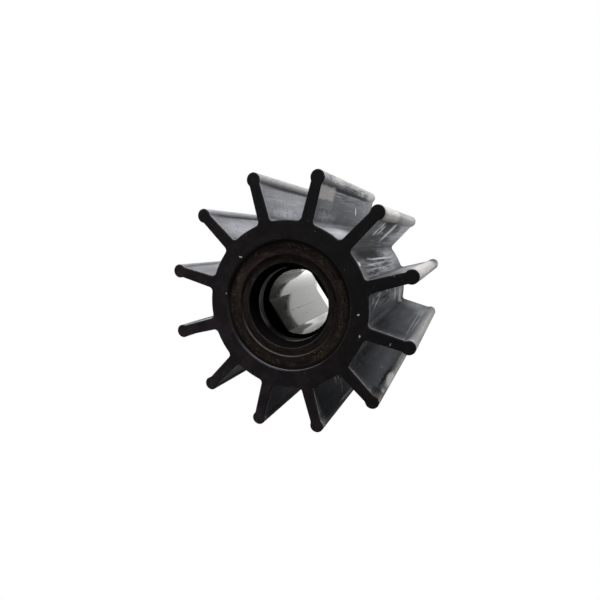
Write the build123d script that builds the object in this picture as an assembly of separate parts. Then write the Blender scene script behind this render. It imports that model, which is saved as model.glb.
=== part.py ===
"""Flexible impeller of a marine raw-water pump.

Two pieces: a rubber moulding, which is a round hub with straight vanes that
end in round beads, and a turned metal insert bonded inside the hub. The bore
of the insert has two flats for the pump shaft, and a stepped recess at each
end of it. Both ends of the impeller are alike.

Millimetres. The axis is +Z and the impeller stands on one end face, so the
origin is the centre of that face. The flats of the bore face along X.
"""
import os
from math import hypot

from build123d import *

# Rubber moulding
length = 84.0                 # end face to end face
vane_tip_circle = 95.0        # diameter over the beads, free in the air
vane_count = 12
vane_turn = 11.0              # first vane, degrees round from the flats' normal
vane_root_thickness = 4.5
vane_neck_thickness = 3.8     # just under the bead
bead_diameter = 5.0
root_fillet = 1.6
bead_blend = 1.2              # fillet between a bead and its vane
hub_wall = 6.5                # rubber round the insert
end_edge_break = 0.3          # chamfer round the outline and the mouth of both ends

# Drive insert, outwards from the bore
bore_diameter = 25.0
flat_depth = 2.25             # each flat, measured in from the round of the bore
bore_edge_break = 0.4
seat_width = 1.25             # ledge round the bore at the foot of the recess
relief_width = 1.0            # undercut at the foot of the recess, outside its land
lead_in_width = 1.75          # cone from the land out to the mouth
mouth_ring_width = 3.0        # flat ring round the mouth
rim_ring_width = 5.0          # outer ring, one step higher

# Drive insert, inwards from an end face of the rubber
rim_depth = 1.4
mouth_step = 0.8
lead_in_depth = 4.8
land_length = 3.8
relief_length = 2.7

# Radii
bore_r = bore_diameter / 2
flat_offset = bore_r - flat_depth
land_r = bore_r + seat_width
relief_r = land_r + relief_width
mouth_r = land_r + lead_in_width
step_r = mouth_r + mouth_ring_width
insert_r = step_r + rim_ring_width
hub_r = insert_r + hub_wall
bead_r = bead_diameter / 2
bead_centre_r = vane_tip_circle / 2 - bead_r

# Depths below an end face
mouth_depth = rim_depth + mouth_step
land_depth = mouth_depth + lead_in_depth
relief_depth = land_depth + land_length
seat_depth = relief_depth + relief_length

tiny = 1e-6                   # for comparing places


def rod(radius):
    """Cylinder on the axis, as long as the impeller."""
    return Cylinder(radius, length, align=(Align.CENTER, Align.CENTER, Align.MIN))


def recess_corners():
    """Radius and depth of each corner of an end of the insert, from its rim in to its axis."""
    return [
        (insert_r, rim_depth),
        (step_r, rim_depth),
        (step_r, mouth_depth),
        (mouth_r, mouth_depth),
        (land_r, land_depth),
        (land_r, relief_depth),
        (relief_r, relief_depth),
        (relief_r, seat_depth),
        (0, seat_depth),
    ]


def insert_blank():
    """The insert as turned, before its bore is cut."""
    lower = [(radius, 0, depth) for radius, depth in recess_corners()]
    upper = [(radius, 0, length - depth) for radius, depth in recess_corners()]
    section = make_face(Polyline(lower + upper[::-1], close=True))
    return revolve(section, Axis.Z, 360)


def shaft_shape():
    """A round shaft with two flats that face along X."""
    between_flats = Box(2 * flat_offset, 2 * bore_r, length, align=(Align.CENTER, Align.CENTER, Align.MIN))
    return rod(bore_r) & between_flats


def bore_mouth_edges(insert):
    """Edges round the bore on the two seats."""
    found = []
    for edge in insert.edges():
        box = edge.bounding_box()
        reach = max(abs(box.min.X), box.max.X, abs(box.min.Y), box.max.Y)
        on_lower_seat = abs(box.min.Z - seat_depth) < tiny
        on_upper_seat = abs(box.max.Z - (length - seat_depth)) < tiny
        is_level = box.size.Z < tiny
        if is_level and reach < bore_r + tiny and (on_lower_seat or on_upper_seat):
            found.append(edge)
    return found


def drive_insert():
    """Turned insert with a stepped recess in each end and a bore with two flats."""
    insert = insert_blank() - shaft_shape()
    return chamfer(bore_mouth_edges(insert), bore_edge_break)


def vane():
    """One straight vane with its bead, along +X from inside the hub's wall."""
    start_r = hub_r - hub_wall / 2
    taper = (vane_root_thickness - vane_neck_thickness) / 2 / (bead_centre_r - hub_r)
    start_half = vane_root_thickness / 2 + taper * (hub_r - start_r)
    neck_half = vane_neck_thickness / 2
    outline = [
        (start_r, -start_half),
        (bead_centre_r, -neck_half),
        (bead_centre_r, neck_half),
        (start_r, start_half),
    ]
    blade = extrude(make_face(Polyline(outline, close=True)), length)
    return blade + Pos(bead_centre_r, 0, 0) * rod(bead_r)


def upright_edges(body, low_r, high_r):
    """Edges along the body's length that lie between two radii."""
    found = []
    for edge in body.edges().filter_by(Axis.Z):
        middle = edge.center()
        if low_r < hypot(middle.X, middle.Y) < high_r:
            found.append(edge)
    return found


def rubber_body():
    """Hub and vanes as one moulding, open in the middle for the insert."""
    body = rod(hub_r)
    for index in range(vane_count):
        body += Rot(0, 0, vane_turn + 360 / vane_count * index) * vane()
    root_reach = root_fillet / 2
    body = fillet(upright_edges(body, hub_r - root_reach, hub_r + root_reach), root_fillet)
    body = fillet(upright_edges(body, bead_centre_r - bead_r, bead_centre_r), bead_blend)
    body -= rod(insert_r)
    return chamfer(body.faces().filter_by(Axis.Z).edges(), end_edge_break)


os.makedirs("parts", exist_ok=True)
export_step(rubber_body(), "parts/rubber_body.step")
export_step(drive_insert(), "parts/drive_insert.step")
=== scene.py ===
"""Looks of a rubber pump impeller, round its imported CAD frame.

The impeller stands on its lower end with its axis on Z. Colours, places and sizes in the
materials are worked out in object space, in millimetres from the centre of the lower end.
"""
import math

import bpy
from mathutils import Matrix, Vector


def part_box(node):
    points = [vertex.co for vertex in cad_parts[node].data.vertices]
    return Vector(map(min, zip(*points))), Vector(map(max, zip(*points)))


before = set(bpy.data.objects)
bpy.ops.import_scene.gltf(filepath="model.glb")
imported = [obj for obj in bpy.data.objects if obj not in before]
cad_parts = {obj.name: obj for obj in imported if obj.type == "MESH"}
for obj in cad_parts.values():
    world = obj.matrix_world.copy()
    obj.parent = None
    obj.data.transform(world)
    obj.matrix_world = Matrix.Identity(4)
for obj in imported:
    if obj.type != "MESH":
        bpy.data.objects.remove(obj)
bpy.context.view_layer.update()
scene = bpy.context.scene
MM = 0.001

# ---------------------------------------------------------------- sizes, in millimetres
# Read from the frame.
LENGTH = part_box("rubber_body")[1].z / MM
INSERT_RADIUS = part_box("drive_insert")[1].x / MM
MIDDLE = LENGTH / 2

# Angles in degrees, and sizes that the frame doesn't name.
# Vane 1 leans over the top left in the main view, and the rest follow clockwise.
VANE_STEP = 30.0
VANE_BEFORE_FIRST = 101.0
VANE_HALF_THICKNESS = 2.0     # rounded, the same all along a vane
BEAD_CENTRE = 45.0            # radius
BEAD_RADIUS = 2.5
BEAD_START = BEAD_CENTRE - 1.5    # radius from which a mark lies on the bead
HUB_RADIUS = 30.0
BORE_RADIUS = 12.5
FLAT_DISTANCE = 10.25         # from the axis to each flat of the bore
MOUTH_RADIUS = 15.5
STEP_RADIUS = 18.5

# Heights from the middle of the part at which the insert's bore changes.
SEAT_LEVEL = 28.45
LAND_LEVEL = 31.2
LEAD_IN_LEVEL = 35.0
RING_LEVEL = 39.75


# ---------------------------------------------------------------- node helpers
NOISE_MIDDLE = (0.5, 0.5, 0.5)
SHEEN_ROUGHNESS = 0.32


def towards(azimuth):
    """Level direction at an azimuth in degrees."""
    return math.cos(math.radians(azimuth)), math.sin(math.radians(azimuth)), 0.0


class Graph:
    """Short names for building one node tree."""

    def __init__(self, tree):
        self.tree = tree
        tree.nodes.clear()

    def add(self, kind, inputs=(), **settings):
        """One node with its settings, and its inputs as numbers, colours or sockets."""
        node = self.tree.nodes.new(kind)
        for name, value in settings.items():
            setattr(node, name, value)
        for key, value in dict(inputs).items():
            socket = node.inputs[key]
            if isinstance(value, bpy.types.NodeSocket):
                self.tree.links.new(value, socket)
            else:
                socket.default_value = value
        return node

    def math(self, operation, first, second=0.0):
        return self.add("ShaderNodeMath", {0: first, 1: second}, operation=operation).outputs[0]

    def plus(self, first, second):
        return self.math("ADD", first, second)

    def minus(self, first, second):
        return self.math("SUBTRACT", first, second)

    def times(self, first, second):
        return self.math("MULTIPLY", first, second)

    def absolute(self, value):
        return self.math("ABSOLUTE", value)

    def most(self, *values):
        """Greatest of several values."""
        greatest = values[0]
        for value in values[1:]:
            greatest = self.math("MAXIMUM", greatest, value)
        return greatest

    def beyond(self, value, limit):
        """One where a value is over a limit, and nothing elsewhere."""
        return self.math("GREATER_THAN", value, limit)

    def mix(self, factor, first, second):
        """Mix of two numbers."""
        return self.add("ShaderNodeMix", {0: factor, 2: first, 3: second}).outputs[0]

    def blend(self, factor, first, second):
        """Mix of two colours, each a socket or three numbers."""
        first, second = [one if isinstance(one, bpy.types.NodeSocket) else (*one, 1.0)
                         for one in (first, second)]
        node = self.add("ShaderNodeMix", {0: factor, 6: first, 7: second}, data_type="RGBA")
        return node.outputs[2]

    def ease(self, value, start, end, low=0.0, high=1.0):
        """Smooth step of a value from low at start to high at end."""
        node = self.add("ShaderNodeMapRange", {"Value": value, "From Min": start, "From Max": end,
                                               "To Min": low, "To Max": high})
        node.interpolation_type = "SMOOTHSTEP"
        return node.outputs[0]

    def thinned(self, cover, noise, *step):
        """Cover let through only as far as an ease of the noise allows."""
        return self.times(cover, self.ease(noise, *step))

    def band(self, value, centre, half_width, softness):
        """One inside a band of a value, easing to nothing outside it."""
        off = self.absolute(self.minus(value, centre))
        return self.ease(off, half_width + softness, half_width)

    def dot(self, vector, direction):
        node = self.add("ShaderNodeVectorMath", {0: vector, 1: direction}, operation="DOT_PRODUCT")
        return node.outputs["Value"]

    def along(self, place, azimuth, *step):
        """Ease of the place's distance from the axis towards an azimuth."""
        return self.ease(self.dot(place, towards(azimuth)), *step)

    def scaled(self, vector, scale):
        node = self.add("ShaderNodeVectorMath", {0: vector, 1: scale}, operation="MULTIPLY")
        return node.outputs[0]

    def split(self, vector):
        node = self.add("ShaderNodeSeparateXYZ", {0: vector})
        return node.outputs["X"], node.outputs["Y"], node.outputs["Z"]

    def noise(self, vector, detail, roughness):
        """Noise with features about one unit of the vector across."""
        node = self.add("ShaderNodeTexNoise", {"Vector": vector, "Scale": 1.0, "Detail": detail,
                                               "Roughness": roughness})
        return node.outputs["Fac"]

    def grain(self, place, across, lengthwise, detail, roughness):
        """Noise with so many features a unit of the place, across the part's axis and along it."""
        return self.noise(self.scaled(place, (across, across, lengthwise)), detail, roughness)

    def jostled(self, place, fineness, amount, detail=5.0):
        """Place moved about by noise, to make edges drawn from it ragged."""
        cloud = self.add("ShaderNodeTexNoise", {"Vector": place, "Scale": fineness, "Detail": detail})
        off = self.add("ShaderNodeVectorMath", {0: cloud.outputs["Color"], 1: NOISE_MIDDLE},
                       operation="SUBTRACT").outputs[0]
        return self.add("ShaderNodeVectorMath", {0: self.scaled(off, (amount,) * 3), 1: place},
                        operation="ADD").outputs[0]

    def millimetres(self):
        """Object-space place in millimetres, with its radius and its distance from mid-height."""
        raw = self.add("ShaderNodeTexCoord").outputs["Object"]
        place = self.scaled(raw, (1 / MM,) * 3)
        x, y, z = self.split(place)
        radius = self.math("SQRT", self.plus(self.times(x, x), self.times(y, y)))
        return place, radius, self.absolute(self.minus(z, MIDDLE))

    def on_ends(self, least_slope=0.6):
        """One on surfaces that face along Z, and nothing elsewhere."""
        normal = self.add("ShaderNodeNewGeometry").outputs["Normal"]
        return self.beyond(self.absolute(self.split(normal)[2]), least_slope)


def new_material(name):
    material = bpy.data.materials.new(name)
    material.use_nodes = True
    return material, Graph(material.node_tree)


def finish_surface(g, colour, rough, metal, relief, relief_depth, specular,
                   edge_tint=(1, 1, 1, 1), sheen=0.0):
    """Principled surface with a bump whose depth is in millimetres."""
    bump = g.add("ShaderNodeBump", {"Height": relief, "Distance": relief_depth * MM, "Strength": 1.0})
    bsdf = g.add("ShaderNodeBsdfPrincipled", {
        "Base Color": colour,
        "Roughness": rough,
        "Metallic": metal,
        "Normal": bump.outputs[0],
        "Specular IOR Level": specular,
        "Specular Tint": edge_tint,
        "Sheen Weight": sheen,
        "Sheen Roughness": SHEEN_ROUGHNESS,
    })
    g.add("ShaderNodeOutputMaterial", {"Surface": bsdf.outputs[0]})


# ---------------------------------------------------------------- marks left on the surfaces
# A spot is a place on a surface, the direction that marks there are measured along, and the
# way out of the surface. A mark is a turned and stretched ball or box about a spot.
def turned_to(azimuth):
    return Matrix.Rotation(math.radians(azimuth), 3, "Z")


def on_vane(vane, side, radius, height):
    """Spot on the side of a vane, +1 where the angle grows, measured along the vane."""
    turn = turned_to(VANE_BEFORE_FIRST - VANE_STEP * vane)
    half = BEAD_RADIUS if radius > BEAD_START else VANE_HALF_THICKNESS
    place = turn @ Vector((radius, side * half, height))
    return place, turn @ Vector((1, 0, 0)), turn @ Vector((0, side, 0))


def on_hub(angle, height):
    """Spot on the hub between two vanes, measured round it."""
    turn = turned_to(angle)
    return turn @ Vector((HUB_RADIUS, 0, height)), turn @ Vector((0, 1, 0)), turn @ Vector((1, 0, 0))


def on_end(radius, angle):
    """Spot on the upper end face, measured outwards."""
    turn = turned_to(angle)
    return turn @ Vector((radius, 0, LENGTH)), turn @ Vector((1, 0, 0)), Vector((0, 0, 1))


def on_ring(radius, angle):
    """Spot on the insert's upper rings, measured outwards."""
    turn = turned_to(angle)
    return turn @ Vector((radius, 0, MIDDLE + RING_LEVEL)), turn @ Vector((1, 0, 0)), Vector((0, 0, 1))


def on_flat(across, height):
    """Spot on the bore's flat at -X, measured up the bore."""
    return Vector((-FLAT_DISTANCE, across, height)), Vector((0, 0, 1)), Vector((1, 0, 0))


def in_bore(angle, height):
    """Spot on the round part of the bore, measured up it."""
    turn = turned_to(angle)
    return turn @ Vector((BORE_RADIUS, 0, height)), Vector((0, 0, 1)), turn @ Vector((-1, 0, 0))


def patch(spot, along, across, strength=1.0, depth=1.2, square=False, tilt=0.0):
    """Mark about a spot, with its half sizes and, in degrees, its tilt on the surface."""
    place, direction, outward = spot
    direction = Matrix.Rotation(math.radians(tilt), 3, outward) @ direction
    frame_of_mark = Matrix((direction, outward, direction.cross(outward))).transposed()
    return place, frame_of_mark.to_euler("XYZ"), (along, depth, across), strength, square


def line(start, end, half_width, strength=1.0, depth=1.2):
    """Mark that runs from one spot to another and tapers to both."""
    run = end[0] - start[0]
    outward = (start[2] - run * (start[2].dot(run) / run.length_squared)).normalized()
    middle = (start[0] + end[0]) / 2
    return patch((middle, run.normalized(), outward), run.length / 2, half_width, strength, depth)


def marked(g, place, marks, edge=0.45):
    """Greatest cover that any of the marks gives, each with a soft edge, a share of its size."""
    cover = 0.0
    for centre, turn, reach, strength, square in marks:
        local = g.add("ShaderNodeMapping", {"Vector": place, "Location": centre, "Rotation": turn,
                                            "Scale": reach}, vector_type="TEXTURE").outputs[0]
        if square:
            axes = (1, 0, 0), (0, 1, 0), (0, 0, 1)
            inside = g.minus(1.0, g.most(*[g.absolute(g.dot(local, axis)) for axis in axes]))
        else:
            ball = g.add("ShaderNodeTexGradient", {"Vector": local}, gradient_type="SPHERICAL")
            inside = ball.outputs["Fac"]
        cover = g.most(cover, g.ease(inside, 0.0, edge, 0.0, strength))
    return cover


# ---------------------------------------------------------------- where the marks are
# After its spot, a patch has its half sizes along and across the spot's direction, and its
# strength. A line has its half width and its strength. Sizes are in millimetres.

# Talc in full patches, broken up by the grain.
TALC_MARKS = [
    patch(on_vane(2, -1, 46.0, 68.0), 1.1, 9.0, 0.40, depth=2.0, square=True),
    patch(on_vane(2, -1, 44.7, 27.0), 1.4, 3.6, 0.50),
    patch(on_vane(2, -1, 44.6, 11.0), 1.6, 7.0, 0.45),
    patch(on_vane(3, -1, 45.7, 67.0), 2.4, 17.5, 0.76, depth=3.5, square=True),
    patch(on_vane(3, -1, 45.7, 25.0), 2.4, 22.0, 0.30, depth=3.5),
    patch(on_vane(4, +1, 44.8, 54.0), 4.2, 38.0, 0.38, depth=5.5, square=True),
    patch(on_vane(4, -1, 46.8, 62.0), 2.2, 30.0, 0.95, depth=3.0),
    patch(on_hub(-36.0, 12.0), 7.5, 7.5, 0.90),
    patch(on_hub(0.5, 25.0), 1.4, 9.0, 0.40),
    patch(on_vane(5, +1, 46.8, 40.0), 1.5, 46.0, 0.25, depth=2.5),
    patch(on_vane(6, +1, 46.8, 38.0), 1.8, 40.0, 0.85, depth=2.5),
    patch(on_vane(6, +1, 45.8, 58.0), 2.2, 13.0, 1.00, depth=2.5),
    patch(on_vane(6, +1, 45.4, 74.0), 1.1, 2.2, 0.70, depth=1.6),
    patch(on_vane(6, +1, 45.4, 26.0), 1.6, 18.0, 0.40, depth=1.6),
]

# Talc as a thin even film.
TALC_FILM = [
    patch(on_vane(2, -1, 40.9, 75.5), 2.9, 10.6, 0.42, square=True),
    patch(on_vane(2, -1, 37.9, 73.5), 2.8, 9.6, 0.09, square=True),
]

# Parts scuffed in dark and bright lengthwise flecks.
SCUFFED_PARTS = [
    patch(on_vane(3, -1, 37.5, 42.0), 8.0, 44.0, 0.95, depth=1.6),
    patch(on_hub(-4.0, 42.0), 7.5, 44.0, 0.90),
    patch(on_hub(-30.0, 46.0), 6.5, 44.0, 0.60),
    patch(on_vane(2, -1, 41.5, 42.0), 3.0, 44.0, 0.40),
    patch(on_vane(2, -1, 45.0, 48.0), 2.4, 40.0, 0.85, depth=2.4),
    patch(on_vane(7, +1, 37.0, 50.0), 7.0, 34.0, 0.20),
]

# Parts with pale grey dust.
DUSTY_PARTS = [
    patch(on_vane(3, -1, 38.5, 14.0), 8.5, 32.0, 1.00, depth=1.8),
    patch(on_vane(3, -1, 42.0, 26.0), 3.0, 14.0, 1.00),
    patch(on_hub(-4.0, 12.0), 7.5, 32.0, 1.00),
    patch(on_vane(4, +1, 38.0, 40.0), 7.5, 40.0, 0.50, depth=1.8),
    patch(on_hub(-12.5, 38.0), 2.2, 40.0, 0.60),
    patch(on_hub(-30.0, 20.0), 7.5, 40.0, 1.00),
    patch(on_vane(5, +1, 38.0, 5.0), 9.0, 22.0, 0.95, depth=1.8),
    patch(on_vane(5, +1, 44.5, 42.0), 2.6, 44.0, 0.35, depth=2.2),
    patch(on_hub(116.0, 70.0), 7.0, 34.0, 0.85),
    patch(on_vane(12, -1, 36.0, 70.0), 7.5, 26.0, 0.33),
    patch(on_hub(86.0, 70.0), 7.0, 26.0, 0.42),
    patch(on_hub(56.0, 72.0), 8.0, 26.0, 0.50),
    patch(on_vane(1, -1, 33.5, 66.0), 3.0, 22.0, 0.50),
    patch(on_vane(1, -1, 38.0, 60.0), 7.0, 30.0, 0.18),
    patch(on_hub(26.0, 72.0), 8.0, 24.0, 0.65),
    patch(on_vane(2, -1, 33.0, 70.0), 2.5, 18.0, 0.50),
    patch(on_hub(-64.0, 42.0), 7.0, 44.0, 0.45),
    patch(on_hub(-65.0, 76.0), 8.0, 16.0, 1.00),
    patch(on_vane(6, +1, 31.5, 70.0), 3.0, 24.0, 0.70),
    patch(on_vane(5, +1, 42.5, 18.0), 5.0, 26.0, 0.85),
    patch(on_vane(6, +1, 33.0, 48.0), 4.5, 44.0, 0.42),
]

# Faint grey hazy film. On the hub between vanes 1 and 2, lighter towards the near end, it is a painted
# sheen.
HAZE_AND_SHEEN_MARKS = [
    patch(on_vane(1, -1, 33.2, 46.0), 4.0, 46.0, 0.70),
    patch(on_vane(6, +1, 37.0, 42.0), 7.0, 38.0, 0.65),
    patch(on_vane(5, +1, 38.0, 40.0), 6.0, 44.0, 0.50),
    patch(on_vane(12, -1, 38.0, 45.0), 7.0, 40.0, 0.35),
    # painted sheen
    patch(on_hub(56.0, 60.0), 7.0, 34.0, 0.75),
    patch(on_hub(1.2, 20.0), 1.3, 13.0, 0.90),
    line(on_hub(-4.0, 79.0), on_hub(-5.8, 41.0), 0.9, 0.90),
    line(on_hub(-8.8, 72.0), on_hub(-10.6, 47.0), 0.45, 0.90),
    patch(on_hub(-12.0, 22.0), 1.6, 12.0, 0.80),
    line(on_vane(3, -1, 33.4, 80.0), on_vane(3, -1, 33.1, 58.0), 0.45, 0.80),
]

# Bright scratches and nicks.
SCRATCH_MARKS = [
    line(on_vane(2, -1, 38.9, 31.7), on_vane(2, -1, 35.1, 27.8), 0.8),
    line(on_vane(3, -1, 45.0, 44.0), on_vane(3, -1, 33.4, 47.2), 3.6, depth=1.6),
    line(on_vane(3, -1, 43.4, 42.4), on_vane(3, -1, 37.0, 43.6), 2.2, 0.9),
    line(on_vane(3, -1, 43.2, 68.0), on_vane(3, -1, 39.8, 69.4), 2.4),
    line(on_vane(3, -1, 42.2, 64.8), on_vane(3, -1, 37.4, 62.2), 2.2),
    line(on_vane(3, -1, 40.4, 69.2), on_vane(3, -1, 37.2, 72.0), 2.2),
    line(on_vane(3, -1, 42.6, 72.5), on_vane(3, -1, 40.6, 74.5), 1.0, 0.6),
    line(on_vane(3, -1, 39.4, 65.0), on_vane(3, -1, 37.2, 67.5), 0.9, 0.6),
    patch(on_vane(3, -1, 38.5, 58.2), 0.6, 1.3),
    line(on_hub(-1.2, 70.0), on_hub(-3.8, 8.0), 0.45, 0.80),
    patch(on_hub(-3.2, 81.5), 1.0, 1.6, 0.7),
    line(on_hub(-5.0, 77.0), on_hub(-6.0, 24.0), 0.38, 0.40),
    line(on_hub(-8.4, 74.0), on_hub(-9.8, 34.0), 0.35, 0.45),
    line(on_hub(-27.5, 71.5), on_hub(-26.8, 60.0), 0.7),
    line(on_hub(-26.8, 61.0), on_hub(-35.5, 78.0), 0.6, 0.9),
    line(on_hub(-27.0, 74.3), on_hub(-31.8, 80.0), 0.8, 0.7),
    line(on_hub(-24.5, 52.0), on_hub(-29.0, 47.0), 1.0, 0.9),
    line(on_hub(-25.5, 41.0), on_hub(-30.5, 43.0), 1.1, 0.8),
    line(on_hub(-25.0, 27.6), on_hub(-41.0, 29.2), 2.6, 0.95),
    line(on_hub(-31.0, 13.7), on_hub(-44.0, 13.4), 2.6, 0.90),
    line(on_vane(5, +1, 42.3, 78.0), on_vane(5, +1, 41.3, 16.0), 0.22, 0.45),
    line(on_vane(5, +1, 43.1, 73.0), on_vane(5, +1, 43.2, 18.0), 0.20, 0.50),
    line(on_vane(6, +1, 39.0, 54.8), on_vane(6, +1, 41.2, 55.4), 0.8, 0.25),
    line(on_vane(7, +1, 33.8, 59.0), on_vane(7, +1, 37.3, 56.0), 1.5),
    line(on_vane(7, +1, 34.4, 54.0), on_vane(7, +1, 37.2, 53.0), 1.3, 0.9),
    line(on_vane(7, +1, 35.8, 50.6), on_vane(7, +1, 43.0, 52.4), 1.1, 0.65),
    line(on_vane(7, +1, 44.7, 36.0), on_vane(7, +1, 44.3, 62.0), 0.60),
    patch(on_vane(6, +1, 45.9, 58.5), 1.8, 9.5, 1.00, depth=2.5),
]

# Brown and black grime, and on the side of vane 9 a painted shade.
GRIME_AND_SHADE_MARKS = [
    # painted shade on the side of vane 9
    patch(on_vane(9, +1, 38.0, 60.0), 9.0, 40.0, 0.90, depth=2.5),
    patch(on_vane(3, -1, 41.0, 57.5), 3.5, 15.0, square=True),
    patch(on_vane(3, -1, 40.4, 32.0), 3.2, 11.0, 0.75),
    patch(on_vane(3, -1, 35.0, 66.0), 3.6, 24.0, 0.90),
    patch(on_vane(3, -1, 34.6, 36.0), 2.2, 9.0, 0.60),
    patch(on_vane(2, -1, 46.6, 74.0), 0.9, 10.0, 0.55, depth=2.5),
    patch(on_vane(6, +1, 43.5, 60.0), 0.9, 18.0, 0.95, depth=1.6),
    patch(on_vane(6, +1, 44.0, 80.0), 3.0, 7.0, 0.90, depth=2.5),
    patch(on_vane(4, +1, 45.8, 9.0), 3.8, 20.0, 0.90, depth=4.5),
    patch(on_vane(5, +1, 33.0, 72.0), 3.5, 11.0, 0.50),
    line(on_hub(-2.5, 66.0), on_hub(-4.0, 8.0), 0.40, 0.80),
    line(on_hub(-6.2, 77.0), on_hub(-9.8, 40.0), 0.55, 0.80),
    line(on_hub(-10.6, 80.0), on_hub(-13.4, 46.0), 0.70, 0.80),
    patch(on_hub(-7.0, 34.0), 0.6, 3.5, 0.70),
    patch(on_hub(3.0, 60.0), 2.2, 25.0, 0.90, square=True),
    line(on_vane(3, -1, 32.4, 78.0), on_vane(3, -1, 31.8, 36.0), 0.40, 0.85),
]

# Dark corner under a bead: painted shade in the crease, with some grime.
NECK_SHADE_AND_GRIME = [
    patch(on_vane(2, -1, 43.1, 45.0), 0.90, 42.0, 1.00, depth=1.6, square=True),
    patch(on_vane(1, -1, 43.0, 45.0), 0.80, 42.0, 0.95, depth=1.6, square=True),
    patch(on_vane(12, -1, 43.1, 45.0), 0.70, 42.0, 0.85, depth=1.6, square=True),
]

# Chips on the rubber's end face.
CHIP_MARKS = [
    patch(on_end(24.4, 101.1), 0.9, 0.32, tilt=35),
    patch(on_end(23.9, 136.6), 0.30, 0.45, 0.6),
    patch(on_end(26.4, -37.3), 0.55, 0.35, tilt=30),
    patch(on_end(28.4, -52.2), 0.30, 0.65, tilt=20),
    patch(on_end(39.7, -16.8), 0.22, 0.40, 0.25),
    patch(on_end(38.8, -16.0), 0.25, 0.30, 0.20),
    patch(on_end(39.0, -50.2), 0.25, 0.65, 0.5),
]

# Reddish tint on the end of vane 7.
RED_MARKS = [
    patch(on_end(44.0, -107.5), 3.5, 3.5, 0.6),
    patch(on_end(36.0, -107.5), 5.0, 2.5, 0.35),
]

# Chips on the insert's rings.
RING_CHIP_MARKS = [
    patch(on_ring(19.2, -91.3), 0.28, 0.28, 0.8),
    patch(on_ring(20.2, -84.6), 0.60, 0.16, 0.7, tilt=25),
    patch(on_ring(19.4, -80.0), 0.50, 0.14, 0.5, tilt=-30),
    patch(on_ring(19.7, -107.0), 0.25, 0.40, 0.4),
]

# Pits, a faint seam, and a dark wedge in the bore that is painted shade.
PITS_AND_SHADED_WEDGE = [
    patch(on_flat(0.2, 54.8), 1.0, 0.30),
    patch(on_flat(0.2, 48.7), 0.9, 0.30),
    patch(on_flat(-3.4, 43.0), 0.9, 0.26, 0.7),
    patch(on_flat(-4.0, 50.0), 0.7, 0.22, 0.6),
    patch(on_flat(4.6, 33.0), 0.8, 0.25, 0.6),
    line(on_flat(0.35, 60.0), on_flat(0.0, 20.0), 0.14, 0.7),
    # painted shade: the dark wedge
    patch(in_bore(-136.0, 58.0), 15.0, 1.8, 0.75, depth=2.5),
]

# Dull film in the bore.
BORE_FILM = [
    patch(in_bore(-130.0, 31.0), 21.0, 6.5, 0.75, depth=2.5),
    patch(in_bore(105.0, 64.0), 16.0, 5.5, 0.45, depth=2.5),
]


# ---------------------------------------------------------------- rubber
RUBBER_SPECULAR = 0.24
RUBBER_SHEEN = 0.22
RUBBER_RELIEF = 0.05          # depth of its bump, in millimetres
RUBBER_DARK = (0.008, 0.008, 0.010)
# Bloom greys: a grey film on the rubber, their bluish tint a painted sheen.
RUBBER_BLOOM_AND_SHEEN = (0.046, 0.049, 0.058)
BLOOM_AND_SHEEN_GREY = (0.130, 0.138, 0.158)
PALE_LINE = (0.34, 0.35, 0.37)
SCUFF_LINE = (0.48, 0.48, 0.48)
# Pale wear at both ends of the walls, partly a painted edge highlight.
EDGE_WEAR_AND_HIGHLIGHT = (0.26, 0.26, 0.27)
BEAD_DUST = (0.30, 0.29, 0.28)
# Grime, also used as painted shade under the beads and on vane 9.
GRIME_AND_SHADE_COLOUR = (0.012, 0.009, 0.007)
DUST_GREY = (0.52, 0.53, 0.55)
TALC = (0.80, 0.76, 0.69)
SCRATCH = (0.90, 0.89, 0.88)
END_DARK = (0.0018, 0.0008, 0.0016)
END_LIGHT = (0.0108, 0.0068, 0.0092)
END_RED = (0.020, 0.008, 0.008)
SPECK = (0.12, 0.11, 0.10)
CHIP = (0.60, 0.56, 0.46)

# Noises: features a millimetre across the axis and along it, detail and roughness.
STREAK_NOISE = (0.50, 0.025, 5.0, 0.55)
CLOUD_NOISE = (0.16, 0.09, 5.0, 0.55)
GRAIN_NOISE = (1.8, 1.1, 6.0, 0.65)
LINE_NOISE = (2.4, 0.04, 2.0, 0.55)
FLECK_NOISE = (1.5, 0.07, 6.0, 0.70)
BEAD_NOISE = (1.6, 0.5, 6.0, 0.70)
END_CLOUD_NOISE = (0.22, 0.22, 6.0, 0.65)
END_GRAIN_NOISE = (2.2, 2.2, 5.0, 0.70)
SPECK_FINENESS = 0.55         # cells a millimetre

# Ragged edges: features a millimetre and how far they move a place, in millimetres.
LOOSE_EDGES = (0.45, 3.2)
CLOSE_EDGES = (1.6, 0.7)
SMEARED_EDGES = (0.22, 2.2)

# Steps of an ease: where it starts and ends, on a noise, a radius or a height, and then its
# values there if they aren't 0 and 1.
STREAK_STEP = (0.38, 0.66)
CLOUD_STEP, CLOUD_COVER = (0.42, 0.66), 0.45
LINE_STEP, LINE_COVER = (0.58, 0.70), 0.35
PORE_STEP = (0.60, 0.35, 0.0, 0.55)
HAZE_AND_SHEEN_STEP = (0.3, 0.6, 0.5, 1.0)
BARE_STEP = (0.50, 0.38)
SCUFF_STEP = (0.53, 0.63)
DUST_STEP = (0.30, 0.60, 0.35, 1.0)
RIM_STEP = (MIDDLE - 1.5, MIDDLE - 0.6, 0.0, 0.52)
RIM_GRAIN_STEP = (0.25, 0.6, 0.5, 1.0)
BEAD_STEP = (BEAD_CENTRE - 1.9, BEAD_CENTRE + 1.1)
BEAD_DUST_STEP = (0.28, 0.66, 0.35, 0.95)
GRIME_AND_SHADE_STEP = (0.3, 0.6, 0.5, 1.0)
TALC_STEP = (0.36, 0.62, 0.30, 1.0)
SCRATCH_STEP = (0.3, 0.55, 0.5, 1.0)
ROOT_RISE = (HUB_RADIUS + 0.05, HUB_RADIUS + 0.4)
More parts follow.
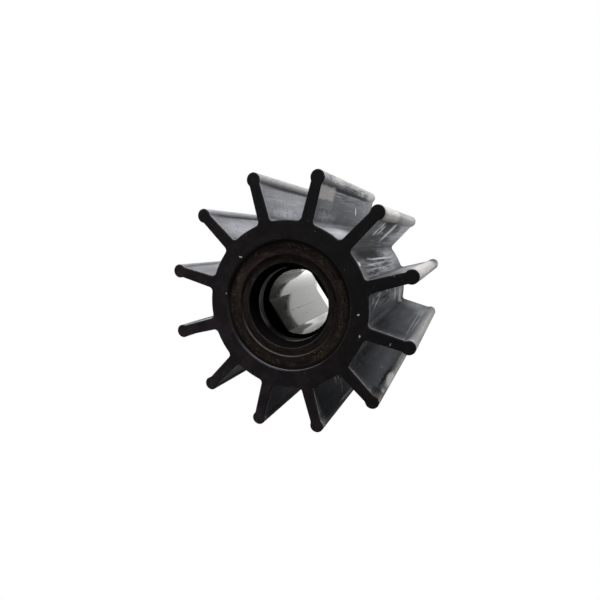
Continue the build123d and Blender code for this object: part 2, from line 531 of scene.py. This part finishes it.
ROOT_FALL = (HUB_RADIUS + 2.0, HUB_RADIUS + 1.2)
RECESS_STEP = (INSERT_RADIUS + 0.6, INSERT_RADIUS + 0.3)
END_CLOUD_STEP = (0.38, 0.70)
END_GRAIN_STEP = (0.50, 0.68, 0.0, 0.9)
SPECK_CHOICE = (0.58, 0.92)
SPECK_STEP = (0.13, 0.05)

# Painted light: sides painted paler towards where light falls and darker away from it. The azimuth of
# the palest part, then the step of the distance towards it.
PAINTED_LIGHT_ON_ENDS = (178.0, -36.0, 60.0, 0.45, 2.7)
PAINTED_LIGHT_ON_LIP = (-105.0, 2.0, 18.0, 0.0, 0.55)

CLEAN_ROUGH = (0.0, 1.0, 0.42, 0.50)      # step on the streaks
DULL_ROUGH = 0.80
GRIMY_ROUGH = 0.97
ROOT_ROUGH = 0.62
END_ROUGH = (0.3, 0.7, 0.62, 0.80)        # step on the grain
GRAIN_RELIEF = 0.6
STREAK_RELIEF = 0.4


def clean_walls(g, place, streaks, grain):
    """Moulded sides before any handling: grey bloom in lengthwise streaks, clouds and lines, its
    bluish tint a painted sheen.
    """
    clouds = g.ease(g.grain(place, *CLOUD_NOISE), *CLOUD_STEP)
    fine_lines = g.ease(g.grain(place, *LINE_NOISE), *LINE_STEP)
    colour = g.blend(streaks, RUBBER_DARK, RUBBER_BLOOM_AND_SHEEN)
    colour = g.blend(g.times(clouds, CLOUD_COVER), colour, BLOOM_AND_SHEEN_GREY)
    colour = g.blend(g.times(fine_lines, LINE_COVER), colour, PALE_LINE)
    return g.blend(g.ease(grain, *PORE_STEP), colour, RUBBER_DARK)


def rubber_walls(g, place, radius, from_middle):
    """Moulded sides: bloom with a painted sheen, then scuffs, dust, worn ends with a painted edge
    highlight, dusty beads, dirt and painted shade in the bead creases, talc and scratches.
    """
    streaks = g.ease(g.grain(place, *STREAK_NOISE), *STREAK_STEP)
    grain = g.grain(place, *GRAIN_NOISE)
    flecks = g.grain(place, *FLECK_NOISE)
    loose = g.jostled(place, *LOOSE_EDGES)
    close = g.jostled(place, *CLOSE_EDGES)
    smeared = g.jostled(place, *SMEARED_EDGES)

    colour = clean_walls(g, place, streaks, grain)
    # Hazy grey film, with a painted sheen on the hub between vanes 1 and 2.
    haze_and_sheen = g.thinned(marked(g, loose, HAZE_AND_SHEEN_MARKS, edge=0.7), grain, *HAZE_AND_SHEEN_STEP)
    colour = g.blend(haze_and_sheen, colour, BLOOM_AND_SHEEN_GREY)

    scuffed = marked(g, loose, SCUFFED_PARTS, edge=0.5)
    rubbed_bare = g.thinned(scuffed, flecks, *BARE_STEP)
    colour = g.blend(rubbed_bare, colour, RUBBER_DARK)
    colour = g.blend(g.thinned(scuffed, flecks, *SCUFF_STEP), colour, SCUFF_LINE)
    dusted = g.thinned(marked(g, loose, DUSTY_PARTS, edge=0.9), flecks, *DUST_STEP)
    colour = g.blend(dusted, colour, DUST_GREY)

    # Paler at both ends of the walls: wear, with a painted edge highlight.
    rim_wear_and_highlight = g.thinned(g.ease(from_middle, *RIM_STEP), grain, *RIM_GRAIN_STEP)
    colour = g.blend(rim_wear_and_highlight, colour, EDGE_WEAR_AND_HIGHLIGHT)
    dust = g.thinned(g.ease(radius, *BEAD_STEP), g.grain(place, *BEAD_NOISE), *BEAD_DUST_STEP)
    dust = g.times(dust, g.minus(1.0, rubbed_bare))
    colour = g.blend(dust, colour, BEAD_DUST)

    # Grime, with painted shade on vane 9 and in the creases under the beads.
    grime_and_shade = g.thinned(marked(g, loose, GRIME_AND_SHADE_MARKS, edge=0.6), grain, *GRIME_AND_SHADE_STEP)
    grime_and_shade = g.most(grime_and_shade, marked(g, close, NECK_SHADE_AND_GRIME, edge=0.6))
    colour = g.blend(grime_and_shade, colour, GRIME_AND_SHADE_COLOUR)
    talc = g.thinned(marked(g, smeared, TALC_MARKS), grain, *TALC_STEP)
    talc = g.most(talc, marked(g, smeared, TALC_FILM, edge=0.38))
    colour = g.blend(talc, colour, TALC)
    scratch = g.thinned(marked(g, close, SCRATCH_MARKS), grain, *SCRATCH_STEP)
    colour = g.blend(scratch, colour, SCRATCH)

    in_root = g.thinned(g.ease(radius, *ROOT_RISE), radius, *ROOT_FALL)
    rough = g.mix(g.most(dust, talc, grime_and_shade, rim_wear_and_highlight), g.ease(streaks, *CLEAN_ROUGH), DULL_ROUGH)
    rough = g.mix(g.most(grime_and_shade, rubbed_bare), rough, GRIMY_ROUGH)
    rough = g.mix(in_root, rough, ROOT_ROUGH)
    relief = g.plus(g.times(grain, GRAIN_RELIEF), g.times(streaks, STREAK_RELIEF))
    return colour, rough, relief


def rubber_ends(g, place):
    """End faces: almost black, with a brown and purple mottle, specks and a few chips, and painted
    light that makes them paler on one side.
    """
    clouds = g.ease(g.grain(place, *END_CLOUD_NOISE), *END_CLOUD_STEP)
    grain = g.grain(place, *END_GRAIN_NOISE)
    colour = g.blend(clouds, END_DARK, END_LIGHT)
    colour = g.blend(g.ease(grain, *END_GRAIN_STEP), colour, END_LIGHT)
    # Painted light: the ends are paler towards azimuth 178 and darker away from it.
    colour = g.scaled(colour, g.along(place, *PAINTED_LIGHT_ON_ENDS))
    colour = g.blend(marked(g, place, RED_MARKS, edge=0.9), colour, END_RED)

    cells = g.scaled(place, (SPECK_FINENESS,) * 3)
    cell = g.add("ShaderNodeTexVoronoi", {"Vector": cells, "Scale": 1.0})
    chosen = g.ease(g.split(cell.outputs["Color"])[0], *SPECK_CHOICE)
    colour = g.blend(g.thinned(chosen, cell.outputs["Distance"], *SPECK_STEP), colour, SPECK)
    colour = g.blend(marked(g, place, CHIP_MARKS), colour, CHIP)
    return colour, g.ease(grain, *END_ROUGH), grain


def rubber_material():
    material, g = new_material("moulded_rubber")
    place, radius, from_middle = g.millimetres()
    on_end = g.on_ends()
    wall_colour, wall_rough, wall_relief = rubber_walls(g, place, radius, from_middle)
    end_colour, end_rough, end_relief = rubber_ends(g, place)

    in_recess = g.times(g.ease(radius, *RECESS_STEP), g.minus(1.0, on_end))
    # Painted highlight and shade on the recess wall round the insert: bloom grey towards azimuth -105,
    # rubber dark away from it.
    painted_lip_light = g.blend(g.along(place, *PAINTED_LIGHT_ON_LIP), RUBBER_DARK, BLOOM_AND_SHEEN_GREY)
    wall_colour = g.blend(in_recess, wall_colour, painted_lip_light)
    finish_surface(g, g.blend(on_end, wall_colour, end_colour), g.mix(on_end, wall_rough, end_rough),
                   0.0, g.mix(on_end, wall_relief, end_relief), RUBBER_RELIEF, RUBBER_SPECULAR,
                   sheen=RUBBER_SHEEN)
    return material


# ---------------------------------------------------------------- insert
INSERT_SPECULAR = 0.06
INSERT_RELIEF = 0.02          # depth of its bump, in millimetres
BORE_EDGE_TINT = (0.75, 0.75, 0.74, 1)
BORE_STEEL = (0.032, 0.032, 0.030)
BORE_DULL = (0.018, 0.018, 0.017)
# Pit colour, also used for the painted shade of the dark wedge.
PIT_AND_SHADE = (0.004, 0.004, 0.004)
# Painted shade: the undercut is painted black.
UNDERCUT_PAINTED_SHADE = (0.0015, 0.0012, 0.0012)
# Painted light: lit and shaded copies of the land's grey.
PAINTED_LIT_LAND = (0.420, 0.400, 0.408)
PAINTED_SHADED_LAND = (0.012, 0.012, 0.012)
# Painted shade: the lead-in cone is painted black.
LEAD_IN_PAINTED_SHADE = (0.0018, 0.0013, 0.0014)
# Darkest tarnish, also used for painted shade by the rings' outer edge.
DARK_TARNISH_AND_SHADE = (0.0115, 0.0086, 0.0086)
TARNISH_BROWN = (0.0330, 0.0245, 0.0210)
TARNISH_OLIVE = (0.0850, 0.0690, 0.0450)
TARNISH_RED = (0.0700, 0.0290, 0.0260)
# Painted highlight on the step edges of the rings.
PAINTED_EDGE_HIGHLIGHT = (0.110, 0.102, 0.092)
# Painted highlight on the rims of the land and the lead-in.
PAINTED_RIM_HIGHLIGHT = (0.450, 0.430, 0.400)

# Noises, steps, and the sides of painted light and shade, given as for the rubber.
DRAWN_NOISE = (1.6, 0.05, 5.0, 0.55)
MOTTLE_NOISE = (0.9, 0.9, 6.0, 0.70)
RING_GRAIN_NOISE = (1.2, 1.2, 4.0, 0.70)
CLUMP_NOISE = (0.17, 0.17, 3.0, 0.55)
DULL_STEP = (0.35, 0.7)
DRAWN_STEP = (0.45, 0.65, 0.0, 0.6)
FILM_STEP = (0.45, 0.75, 0.0, 0.30)
CLUMP_STEP = (0.42, 0.60)
BROWN_STEP = (0.35, 0.65)
OLIVE_STEP = (0.46, 0.64)
RED_STEP = (0.50, 0.38)
TURNED_STEP = (0.50, 0.62, 0.0, 0.60)
# Painted shade towards the outer edge of the rings, under the rubber's step.
OUTER_SHADE_STEP = (INSERT_RADIUS - 1.7, INSERT_RADIUS - 0.8, 0.0, 0.8)
EDGE_GRAIN_STEP = (0.3, 0.6, 0.4, 1.0)
# Painted light and highlights: the land, the rims, the ring edges and the rings, each paler towards an
# azimuth.
PAINTED_LAND_LIGHT_SIDE = (114.0, 2.5, 13.5)
RIM_HIGHLIGHT_SIDE = (-108.0, 11.5, 15.0)
EDGE_HIGHLIGHT_SIDE = (-128.0, 2.0, 17.0, 0.0, 0.85)
PAINTED_LIGHT_ON_RINGS = (70.0, -8.0, 20.0, 1.0, 1.9)

# Bands round the rings or the bore: the middle, its half width and the softness outside it.
OLIVE_BAND = (21.2, 0.8, 1.2)
RED_BAND, RED_COVER = (19.5, 0.4, 0.8), 0.45
STEP_EDGE = (STEP_RADIUS, 0.10, 0.15)
MOUTH_EDGE = (MOUTH_RADIUS, 0.15, 0.2)
LAND_RIM = (LAND_LEVEL, 0.12, 0.12)
LEAD_IN_RIM = (LEAD_IN_LEVEL, 0.10, 0.12)
OLIVE_LEAST, OLIVE_IN_CLUMPS = 0.15, 0.75     # cover everywhere, and what a clump adds

# Turned texture: features a millimetre outwards and round, and how much finer its lines are.
TURNED_OUTWARDS, TURNED_ROUND = 1.3, 0.16
TURNED_LINES = (2.4, 1.0, 1.0)

BORE_ROUGH = (0.3, 0.7, 0.05, 0.10)       # step on the mottle
FILM_ROUGH = 0.30                         # added by a full film
PIT_ROUGH = 0.5
BLACK_ROUGH = 0.7
LAND_ROUGH = 0.45
RING_ROUGH = (0.3, 0.7, 0.45, 0.62)       # step on the patches
DRAWN_RELIEF = 0.3


def insert_bore(g, place):
    """Drawn bore with its two flats: satin steel, faint lengthwise lines, a few pitted spots and a
    dark wedge of painted shade.
    """
    drawn = g.grain(place, *DRAWN_NOISE)
    mottle = g.grain(place, *MOTTLE_NOISE)
    colour = g.blend(g.ease(mottle, *DULL_STEP), BORE_DULL, BORE_STEEL)
    colour = g.blend(g.ease(drawn, *DRAWN_STEP), colour, BORE_STEEL)
    pits_and_wedge_shade = marked(g, place, PITS_AND_SHADED_WEDGE, edge=0.6)
    colour = g.blend(pits_and_wedge_shade, colour, PIT_AND_SHADE)
    film = g.most(g.ease(mottle, *FILM_STEP), marked(g, place, BORE_FILM, edge=0.8))
    rough = g.plus(g.ease(mottle, *BORE_ROUGH), g.times(film, FILM_ROUGH))
    rough = g.mix(pits_and_wedge_shade, rough, PIT_ROUGH)
    metal = g.minus(1.0, g.most(pits_and_wedge_shade, film))
    relief = g.minus(g.times(drawn, DRAWN_RELIEF), pits_and_wedge_shade)
    return colour, rough, metal, relief


def insert_rings(g, place, radius):
    """Turned end rings: brown and olive tarnish laid along fine concentric lines, with painted shade
    by the outer edge, painted highlights on the step edges and painted light towards one side.
    """
    x, y, z = g.split(place)
    around = g.times(g.math("ARCTAN2", y, x), INSERT_RADIUS)
    turned = g.add("ShaderNodeCombineXYZ", {0: g.times(radius, TURNED_OUTWARDS),
                                            1: g.times(around, TURNED_ROUND), 2: z}).outputs[0]
    lines = g.noise(g.scaled(turned, TURNED_LINES), detail=3.0, roughness=0.55)
    patches = g.noise(turned, detail=6.0, roughness=0.70)
    grain = g.grain(place, *RING_GRAIN_NOISE)
    clumps = g.ease(g.grain(place, *CLUMP_NOISE), *CLUMP_STEP)

    colour = g.blend(g.ease(patches, *BROWN_STEP), DARK_TARNISH_AND_SHADE, TARNISH_BROWN)
    olive = g.thinned(g.band(radius, *OLIVE_BAND), grain, *OLIVE_STEP)
    olive = g.times(olive, g.plus(OLIVE_LEAST, g.times(clumps, OLIVE_IN_CLUMPS)))
    colour = g.blend(olive, colour, TARNISH_OLIVE)
    red = g.thinned(g.band(radius, *RED_BAND), grain, *RED_STEP)
    colour = g.blend(g.times(red, RED_COVER), colour, TARNISH_RED)
    colour = g.blend(g.ease(lines, *TURNED_STEP), colour, DARK_TARNISH_AND_SHADE)
    # Painted shade: darker towards the outer edge, under the rubber's step.
    colour = g.blend(g.ease(radius, *OUTER_SHADE_STEP), colour, DARK_TARNISH_AND_SHADE)

    # Painted highlight on the step and mouth edges, towards azimuth -128.
    edge = g.most(g.band(radius, *STEP_EDGE), g.band(radius, *MOUTH_EDGE))
    edge = g.times(edge, g.thinned(g.along(place, *EDGE_HIGHLIGHT_SIDE), grain, *EDGE_GRAIN_STEP))
    colour = g.blend(edge, colour, PAINTED_EDGE_HIGHLIGHT)
    colour = g.blend(marked(g, place, RING_CHIP_MARKS), colour, CHIP)
    # Painted light: the rings are paler towards azimuth 70.
    colour = g.scaled(colour, g.along(place, *PAINTED_LIGHT_ON_RINGS))
    return colour, g.ease(patches, *RING_ROUGH), g.plus(lines, grain)


def insert_material():
    material, g = new_material("turned_insert")
    place, radius, from_middle = g.millimetres()
    colour, rough, metal, relief = insert_bore(g, place)
    # Painted light on the land: grey towards azimuth 114, dark away from it.
    painted_land_light = g.blend(g.along(place, *PAINTED_LAND_LIGHT_SIDE), PAINTED_SHADED_LAND, PAINTED_LIT_LAND)
    # The undercut and the lead-in are painted black as painted shade.
    for level, shade, shade_rough in ((SEAT_LEVEL, UNDERCUT_PAINTED_SHADE, BLACK_ROUGH),
                                      (LAND_LEVEL, painted_land_light, LAND_ROUGH),
                                      (LEAD_IN_LEVEL, LEAD_IN_PAINTED_SHADE, BLACK_ROUGH)):
        above = g.beyond(from_middle, level)
        colour = g.blend(above, colour, shade)
        rough = g.mix(above, rough, shade_rough)
        metal = g.mix(above, metal, 0.0)
    # Painted highlight on the rims of the land and the lead-in, towards azimuth -108.
    highlight_rims = g.most(g.band(from_middle, *LAND_RIM), g.band(from_middle, *LEAD_IN_RIM))
    colour = g.blend(g.times(highlight_rims, g.along(place, *RIM_HIGHLIGHT_SIDE)), colour, PAINTED_RIM_HIGHLIGHT)

    on_rings = g.beyond(from_middle, RING_LEVEL)
    ring_colour, ring_rough, ring_relief = insert_rings(g, place, radius)
    finish_surface(g, g.blend(on_rings, colour, ring_colour), g.mix(on_rings, rough, ring_rough),
                   metal, g.mix(on_rings, relief, ring_relief), INSERT_RELIEF, INSERT_SPECULAR,
                   edge_tint=BORE_EDGE_TINT)
    return material


def dress(node_name, material):
    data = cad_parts[node_name].data
    data.materials.clear()
    data.materials.append(material)


dress("rubber_body", rubber_material())
dress("drive_insert", insert_material())


# ---------------------------------------------------------------- camera
CAMERA_PLACE = Vector((63.35, -14.66, 232.54)) * MM
CAMERA_HEADING = 177.99       # degrees from +X that the camera looks towards
CAMERA_DIP = 67.38            # degrees below level
CAMERA_ROLL = 119.99
CAMERA_LENS = 27.36           # millimetres
CAMERA_SHIFT = (-0.0125, 0.0578)
CAMERA_CLIP = 0.01            # metres


def add_camera():
    data = bpy.data.cameras.new("camera")
    data.lens = CAMERA_LENS
    data.shift_x, data.shift_y = CAMERA_SHIFT
    data.clip_start = CAMERA_CLIP
    camera = bpy.data.objects.new("camera", data)
    along_x, along_y, _ = towards(CAMERA_HEADING)
    dip = math.radians(CAMERA_DIP)
    forward = Vector((along_x * math.cos(dip), along_y * math.cos(dip), -math.sin(dip)))
    level = forward.to_track_quat("-Z", "Y").to_matrix()
    roll = Matrix.Rotation(-math.radians(CAMERA_ROLL), 3, "Z")
    camera.matrix_world = Matrix.Translation(CAMERA_PLACE) @ (level @ roll).to_4x4()
    scene.collection.objects.link(camera)
    scene.camera = camera


add_camera()


# ---------------------------------------------------------------- floor and light
# Metres from here on. The floor and the room look plain white to the camera. What they shine
# on the part is graded towards the bright side.
BRIGHT_SIDE = 85.0            # azimuth that the room's light comes from
FLOOR_SIZE = 4.0
FLOOR_DROP = 0.0001           # below the part, so that the two don't meet
# Floor glow along the bright side: dim far behind, a step up, then bright; less close to the hub.
FLOOR_DIM, FLOOR_MID, FLOOR_BRIGHT = 0.06, 0.45, 2.1
FLOOR_DIM_STEP = (-0.070, -0.040)
FLOOR_BRIGHT_STEP = (-0.022, 0.040)
FLOOR_NEAR, FLOOR_NEAR_STEP = 0.55, (0.032, 0.048)
FLOOR_TINT = (0.96, 0.98, 1.03, 1)
WHITE = (1, 1, 1, 1)
ROOM_DIM, ROOM_BRIGHT = 0.10, 1.6
ROOM_STEP = (-0.2, 0.9)       # on the direction's share towards the bright side
CEILING, CEILING_STEP = 0.09, (0.15, 0.6)
BORE_GLOW = 3.6               # radiance of a small disk that shines up the bore
GLOW_RADIUS = 0.015
GLOW_HEIGHT = 0.0003
# Studio lights: place, aim, diameter and power in watts.
STUDIO_LIGHTS = {
    "key": (Vector((0.45, 0.54, 0.25)), Vector((-0.45, -0.54, -0.20)), 0.25, 5.5),
    "fill": (Vector((-0.62, -0.30, 0.20)), Vector((0.62, 0.30, -0.16)), 0.35, 0.8),
    "side": (Vector((0.76, -0.07, 0.10)), Vector((-0.76, 0.07, -0.06)), 0.30, 1.6),
}


def add_floor():
    bpy.ops.mesh.primitive_plane_add(size=FLOOR_SIZE, location=(0, 0, -FLOOR_DROP))
    floor = bpy.context.object
    floor.name = "floor"
    material, g = new_material("pale_floor")
    place = g.add("ShaderNodeTexCoord").outputs["Object"]
    across = g.dot(place, towards(BRIGHT_SIDE))
    away = g.add("ShaderNodeVectorMath", {0: place}, operation="LENGTH").outputs["Value"]
    lit = g.plus(g.ease(across, *FLOOR_DIM_STEP, FLOOR_DIM, FLOOR_MID),
                 g.ease(across, *FLOOR_BRIGHT_STEP, 0.0, FLOOR_BRIGHT - FLOOR_MID))
    lit = g.times(lit, g.ease(away, *FLOOR_NEAR_STEP, FLOOR_NEAR, 1.0))
    glow = g.add("ShaderNodeEmission", {"Color": FLOOR_TINT, "Strength": lit})
    plain = g.add("ShaderNodeEmission", {"Color": WHITE, "Strength": 1.0})
    seen = g.add("ShaderNodeLightPath").outputs["Is Camera Ray"]
    both = g.add("ShaderNodeMixShader", {0: seen, 1: glow.outputs[0], 2: plain.outputs[0]})
    g.add("ShaderNodeOutputMaterial", {"Surface": both.outputs[0]})
    floor.data.materials.append(material)


def set_world():
    world = bpy.data.worlds.new("studio")
    scene.world = world
    world.use_nodes = True
    g = Graph(world.node_tree)
    direction = g.add("ShaderNodeTexCoord").outputs["Generated"]
    side = g.along(direction, BRIGHT_SIDE, *ROOM_STEP, ROOM_DIM, ROOM_BRIGHT)
    up = g.ease(g.split(direction)[2], *CEILING_STEP)
    seen = g.add("ShaderNodeLightPath").outputs["Is Camera Ray"]
    strength = g.mix(seen, g.mix(up, side, CEILING), 1.0)
    back = g.add("ShaderNodeBackground", {"Color": WHITE, "Strength": strength})
    g.add("ShaderNodeOutputWorld", {"Surface": back.outputs[0]})


def add_disk_light(name, place, aim, size, power):
    """Round light at a place, shining along an aim."""
    data = bpy.data.lights.new(name, "AREA")
    data.shape = "DISK"
    data.size = size
    data.energy = power
    light = bpy.data.objects.new(name, data)
    light.location = place
    light.rotation_euler = aim.to_track_quat("-Z", "Y").to_euler()
    light.visible_camera = False
    scene.collection.objects.link(light)


def add_lights():
    glow_power = BORE_GLOW * math.pi * math.pi * GLOW_RADIUS ** 2
    straight_up = Vector((0, 0, 1))
    add_disk_light("bore_glow", GLOW_HEIGHT * straight_up, straight_up, 2 * GLOW_RADIUS, glow_power)
    for name, (place, aim, size, power) in STUDIO_LIGHTS.items():
        add_disk_light(name, place, aim, size, power)


add_floor()
set_world()
add_lights()
scene.view_settings.view_transform = "Standard"
